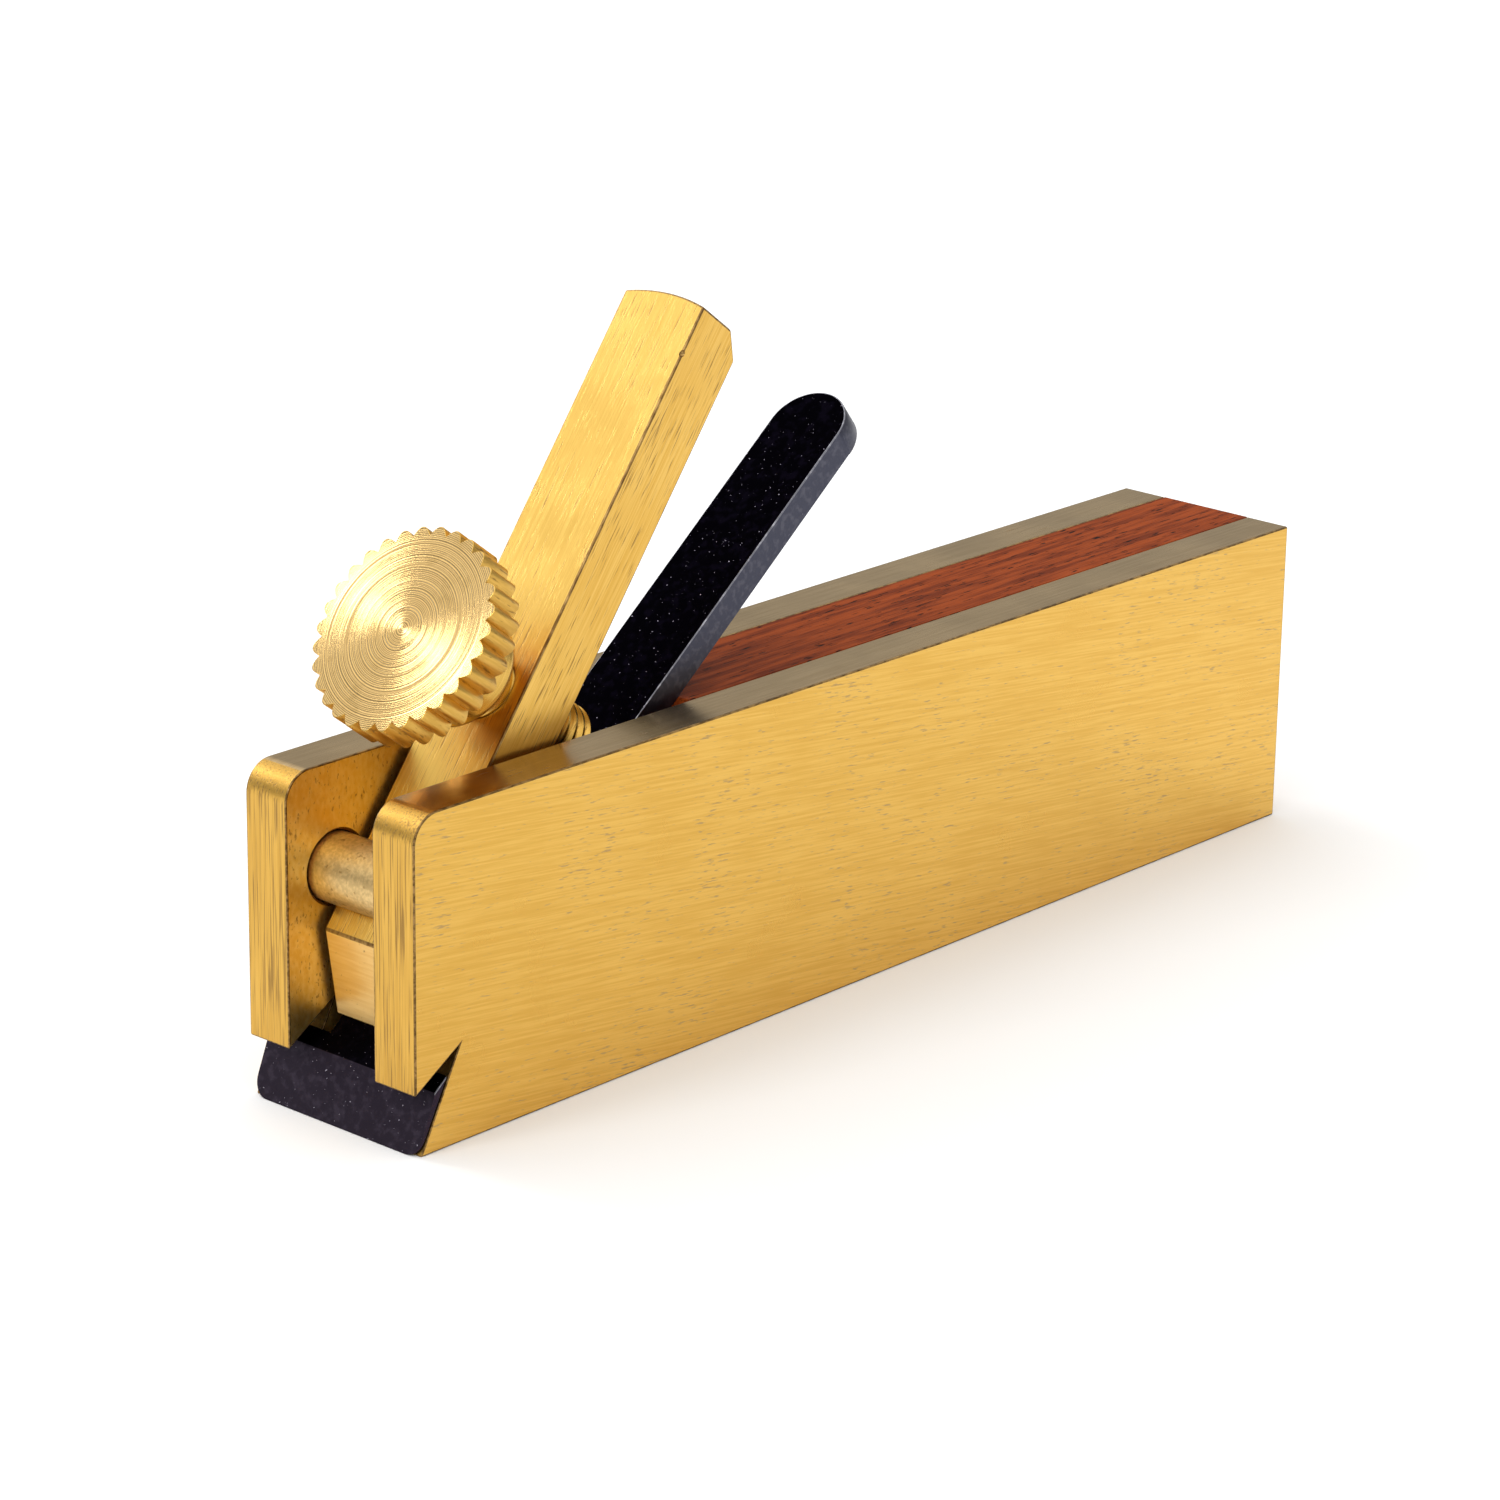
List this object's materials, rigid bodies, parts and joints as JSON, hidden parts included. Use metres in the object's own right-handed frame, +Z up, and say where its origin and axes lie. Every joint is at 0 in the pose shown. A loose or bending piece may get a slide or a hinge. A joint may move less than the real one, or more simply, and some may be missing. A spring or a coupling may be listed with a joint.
{
  "type": "bullnose hand plane",
  "caption": "Small brass bullnose hand plane with a rosewood infill, a sloping cutting iron, and a straight lever cap held by a fulcrum pin and a knurled thumbscrew.",
  "frame": {"origin": "on the sole, under the middle of the body's length and width", "axes": "+X to the side of the right cheek, -Y to the toe and its cutting edge, +Y to the heel, +Z up from the sole"},
  "size_m": [0.0126, 0.076, 0.0412],
  "materials": {
    "brushed_brass": "satin, brushed lengthwise",
    "turned_brass": "turned, bright",
    "dull_brass": "dull, as drawn",
    "blackened_steel": "black oxide, satin",
    "rosewood": "oiled, open pores"
  },
  "bodies": {
    "stock": {"right_cheek": "brushed_brass", "left_cheek": "brushed_brass", "sole_bar": "brushed_brass", "rosewood_infill": "rosewood", "fulcrum_pin": "dull_brass", "front_sole_dowel": "dull_brass", "rear_sole_dowel": "dull_brass", "front_infill_dowel": "dull_brass", "rear_infill_dowel": "dull_brass"},
    "iron": {"cutting_iron": "blackened_steel"},
    "lever": {"lever_cap": "brushed_brass"},
    "stud": {"threaded_stud": "turned_brass"},
    "knob": {"knurled_knob": "turned_brass"}
  },
  "joints": [
    {"name": "iron_slide", "type": "slide", "parent": "stock", "child": "iron", "axis": [0, -0.7859, -0.6184], "range_m": [-0.0003, 0.004]},
    {"name": "lever_rock", "type": "hinge", "parent": "stock", "child": "lever", "pos_m": [0, -0.0344, 0.013], "axis": [-1, 0, 0], "range_deg": [0, 11]},
    {"name": "stud_travel", "type": "slide", "parent": "lever", "child": "stud", "axis": [0, -0.8018, 0.5976], "range_m": [0, 0.0028]},
    {"name": "knob_turn", "type": "hinge", "parent": "stud", "child": "knob", "pos_m": [0, -0.02653, 0.02215], "axis": [0, -0.8018, 0.5976], "range_deg": [0, 1440]}
  ],
  "couplings": [
    {"joint": "knob_turn", "follows": "stud_travel", "rad_per_m": 8976},
    {"joint": "lever_rock", "follows": "stud_travel", "rad_per_m": 68.03}
  ]
}
